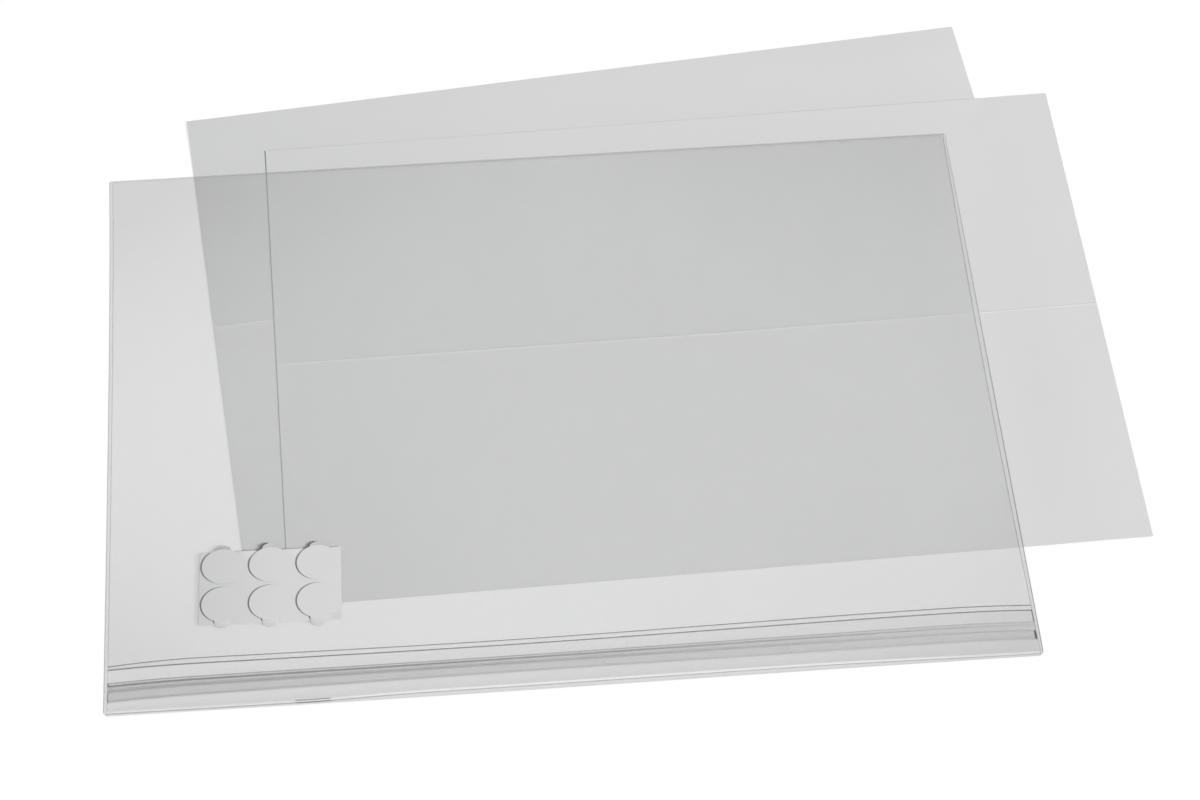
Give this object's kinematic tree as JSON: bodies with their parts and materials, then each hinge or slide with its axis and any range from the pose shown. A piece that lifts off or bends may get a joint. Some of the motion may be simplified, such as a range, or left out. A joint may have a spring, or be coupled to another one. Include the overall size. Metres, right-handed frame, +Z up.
{
  "type": "poster pocket",
  "caption": "Clear film poster pocket with a press-zip flap along its mouth, loose blank insert sheets and a card of round adhesive pads with pull-tab covers.",
  "frame": {"origin": "on the table plane, under the middle of the pocket", "axes": "+X along the pocket's long edge, +Y away from the mouth, +Z up out of the window"},
  "size_m": [0.7184, 0.5887, 0.0038],
  "materials": {
    "clear_film": "soft clear film, slightly hazy gloss",
    "zip_strip": "clear extruded strip, gloss",
    "insert_paper": "uncoated pale grey paper, matte",
    "liner_paper": "silicone release paper, satin",
    "adhesive_foam": "closed-cell foam tape, matte",
    "cover_paper": "white release paper, satin"
  },
  "bodies": {
    "pocket": {"back_panel": "clear_film", "front_panel": "clear_film", "zip_groove_strip": "zip_strip"},
    "flap": {"closing_flap": "clear_film", "zip_rib_strip": "zip_strip"},
    "lower_sheet": {"insert_sheet_lower": "insert_paper"},
    "upper_sheet": {"insert_sheet_upper": "insert_paper"},
    "liner": {"pad_liner": "liner_paper"},
    "pad_1": {"adhesive_pad_1": "adhesive_foam"},
    "pad_2": {"adhesive_pad_2": "adhesive_foam"},
    "pad_3": {"adhesive_pad_3": "adhesive_foam"},
    "pad_4": {"adhesive_pad_4": "adhesive_foam"},
    "pad_5": {"adhesive_pad_5": "adhesive_foam"},
    "pad_6": {"adhesive_pad_6": "adhesive_foam"},
    "cover_1": {"pad_cover_1": "cover_paper"},
    "cover_2": {"pad_cover_2": "cover_paper"},
    "cover_3": {"pad_cover_3": "cover_paper"},
    "cover_4": {"pad_cover_4": "cover_paper"},
    "cover_5": {"pad_cover_5": "cover_paper"},
    "cover_6": {"pad_cover_6": "cover_paper"}
  },
  "joints": [
    {"name": "flap_hinge", "type": "hinge", "parent": "pocket", "child": "flap", "pos_m": [0, -0.1996, 0.0019], "axis": [-1, 0, 0], "range_deg": [0, 90]},
    {"name": "lower_sheet_slide", "type": "slide", "parent": "pocket", "child": "lower_sheet", "axis": [-0.0906, 0.9959, 0], "range_m": [0, 0.41]},
    {"name": "upper_sheet_slide", "type": "slide", "parent": "pocket", "child": "upper_sheet", "axis": [0.9998, 0.0222, 0], "range_m": [0, 0.58]},
    {"name": "liner_lift", "type": "slide", "parent": "pocket", "child": "liner", "axis": [0, 0, 1], "range_m": [0, 0.05]},
    {"name": "pad_1_lift", "type": "slide", "parent": "liner", "child": "pad_1", "axis": [0, 0, 1], "range_m": [0, 0.03]},
    {"name": "pad_2_lift", "type": "slide", "parent": "liner", "child": "pad_2", "axis": [0, 0, 1], "range_m": [0, 0.03]},
    {"name": "pad_3_lift", "type": "slide", "parent": "liner", "child": "pad_3", "axis": [0, 0, 1], "range_m": [0, 0.03]},
    {"name": "pad_4_lift", "type": "slide", "parent": "liner", "child": "pad_4", "axis": [0, 0, 1], "range_m": [0, 0.03]},
    {"name": "pad_5_lift", "type": "slide", "parent": "liner", "child": "pad_5", "axis": [0, 0, 1], "range_m": [0, 0.03]},
    {"name": "pad_6_lift", "type": "slide", "parent": "liner", "child": "pad_6", "axis": [0, 0, 1], "range_m": [0, 0.03]},
    {"name": "cover_1_peel", "type": "hinge", "parent": "pad_1", "child": "cover_1", "pos_m": [-0.23424, -0.13744, 0.0037], "axis": [0.9998, -0.0175, 0], "range_deg": [0, 90]},
    {"name": "cover_2_peel", "type": "hinge", "parent": "pad_2", "child": "cover_2", "pos_m": [-0.20184, -0.138, 0.0037], "axis": [0.9998, -0.0175, 0], "range_deg": [0, 90]},
    {"name": "cover_3_peel", "type": "hinge", "parent": "pad_3", "child": "cover_3", "pos_m": [-0.16945, -0.13857, 0.0037], "axis": [0.9998, -0.0175, 0], "range_deg": [0, 90]},
    {"name": "cover_4_peel", "type": "hinge", "parent": "pad_4", "child": "cover_4", "pos_m": [-0.23429, -0.14033, 0.0037], "axis": [-0.9998, 0.0175, 0], "range_deg": [0, 90]},
    {"name": "cover_5_peel", "type": "hinge", "parent": "pad_5", "child": "cover_5", "pos_m": [-0.20189, -0.1409, 0.0037], "axis": [-0.9998, 0.0175, 0], "range_deg": [0, 90]},
    {"name": "cover_6_peel", "type": "hinge", "parent": "pad_6", "child": "cover_6", "pos_m": [-0.1695, -0.14147, 0.0037], "axis": [-0.9998, 0.0175, 0], "range_deg": [0, 90]}
  ]
}
